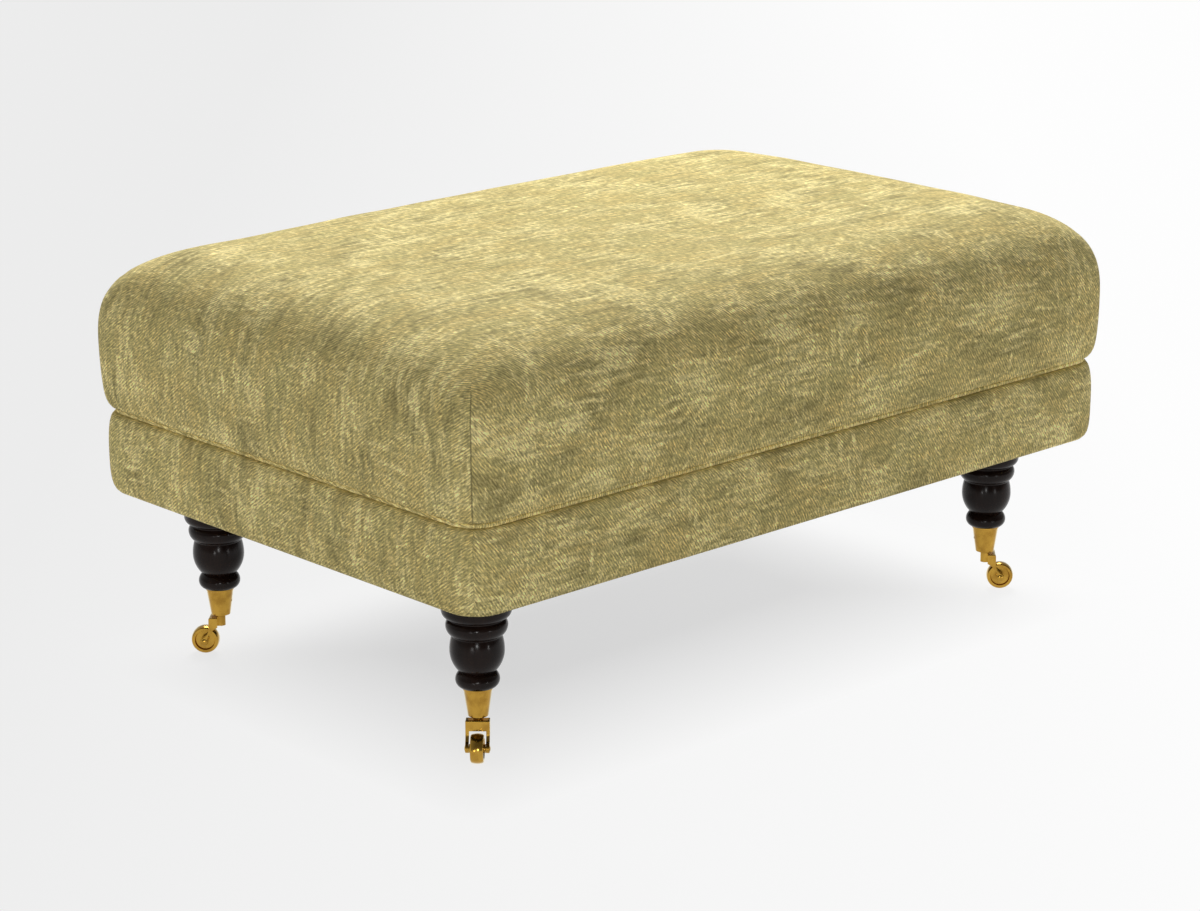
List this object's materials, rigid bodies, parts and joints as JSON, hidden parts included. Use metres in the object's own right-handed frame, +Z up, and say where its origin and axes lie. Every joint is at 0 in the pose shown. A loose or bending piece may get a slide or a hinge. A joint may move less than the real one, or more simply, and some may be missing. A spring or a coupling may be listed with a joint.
{
  "type": "upholstered footstool",
  "caption": "Large rectangular upholstered footstool with a deep padded seat over a covered border, on short turned legs with swivelling brass cup castors.",
  "frame": {"origin": "On the floor, under the middle of the stool and midway between the four leg axes.", "axes": "+X along the long side, +Y from the front to the back across the short side, +Z up."},
  "size_m": [0.992, 0.66, 0.4679],
  "materials": {
    "cover_fabric": "matte",
    "wadding": "matte",
    "foam": "matte",
    "felt": "matte",
    "lining": "matte",
    "webbing": "matte",
    "frame_timber": "matte",
    "leg_timber": "gloss",
    "brass": "polished",
    "steel": "satin"
  },
  "bodies": {
    "stool": {"seat_cover": "cover_fabric", "border_cover": "cover_fabric", "seam_piping": "cover_fabric", "seat_wadding": "wadding", "seat_foam": "foam", "border_padding": "foam", "platform_felt": "felt", "dust_cover": "lining", "lengthways_webbing": "webbing", "crossways_webbing": "webbing", "front_rail": "frame_timber", "back_rail": "frame_timber", "left_rail": "frame_timber", "right_rail": "frame_timber", "centre_rail": "frame_timber", "corner_blocks": "frame_timber", "rail_dowels": "frame_timber", "block_screws": "steel", "tee_nuts": "steel", "hanger_bolts": "steel", "cup_screws": "brass", "leg_front_left": "leg_timber", "castor_cup_front_left": "brass", "swivel_pin_front_left": "brass", "leg_front_right": "leg_timber", "castor_cup_front_right": "brass", "swivel_pin_front_right": "brass", "leg_back_right": "leg_timber", "castor_cup_back_right": "brass", "swivel_pin_back_right": "brass", "leg_back_left": "leg_timber", "castor_cup_back_left": "brass", "swivel_pin_back_left": "brass"},
    "swivel_front_left": {"castor_horn_front_left": "brass", "castor_axle_front_left": "brass"},
    "wheel_front_left": {"castor_wheel_front_left": "brass"},
    "swivel_front_right": {"castor_horn_front_right": "brass", "castor_axle_front_right": "brass"},
    "wheel_front_right": {"castor_wheel_front_right": "brass"},
    "swivel_back_right": {"castor_horn_back_right": "brass", "castor_axle_back_right": "brass"},
    "wheel_back_right": {"castor_wheel_back_right": "brass"},
    "swivel_back_left": {"castor_horn_back_left": "brass", "castor_axle_back_left": "brass"},
    "wheel_back_left": {"castor_wheel_back_left": "brass"}
  },
  "joints": [
    {"name": "castor_swivel_front_left", "type": "hinge", "parent": "stool", "child": "swivel_front_left", "pos_m": [-0.4, -0.224, 0.0445], "axis": [0, 0, 1], "continuous": true},
    {"name": "wheel_roll_front_left", "type": "hinge", "parent": "swivel_front_left", "child": "wheel_front_left", "pos_m": [-0.41308, -0.23708, 0.016], "axis": [0.7071, -0.7071, 0], "continuous": true},
    {"name": "castor_swivel_front_right", "type": "hinge", "parent": "stool", "child": "swivel_front_right", "pos_m": [0.4, -0.224, 0.0445], "axis": [0, 0, 1], "continuous": true},
    {"name": "wheel_roll_front_right", "type": "hinge", "parent": "swivel_front_right", "child": "wheel_front_right", "pos_m": [0.41308, -0.23708, 0.016], "axis": [0.7071, 0.7071, 0], "continuous": true},
    {"name": "castor_swivel_back_right", "type": "hinge", "parent": "stool", "child": "swivel_back_right", "pos_m": [0.4, 0.224, 0.0445], "axis": [0, 0, 1], "continuous": true},
    {"name": "wheel_roll_back_right", "type": "hinge", "parent": "swivel_back_right", "child": "wheel_back_right", "pos_m": [0.41308, 0.23708, 0.016], "axis": [-0.7071, 0.7071, 0], "continuous": true},
    {"name": "castor_swivel_back_left", "type": "hinge", "parent": "stool", "child": "swivel_back_left", "pos_m": [-0.4, 0.224, 0.0445], "axis": [0, 0, 1], "continuous": true},
    {"name": "wheel_roll_back_left", "type": "hinge", "parent": "swivel_back_left", "child": "wheel_back_left", "pos_m": [-0.41308, 0.23708, 0.016], "axis": [-0.7071, -0.7071, 0], "continuous": true}
  ]
}
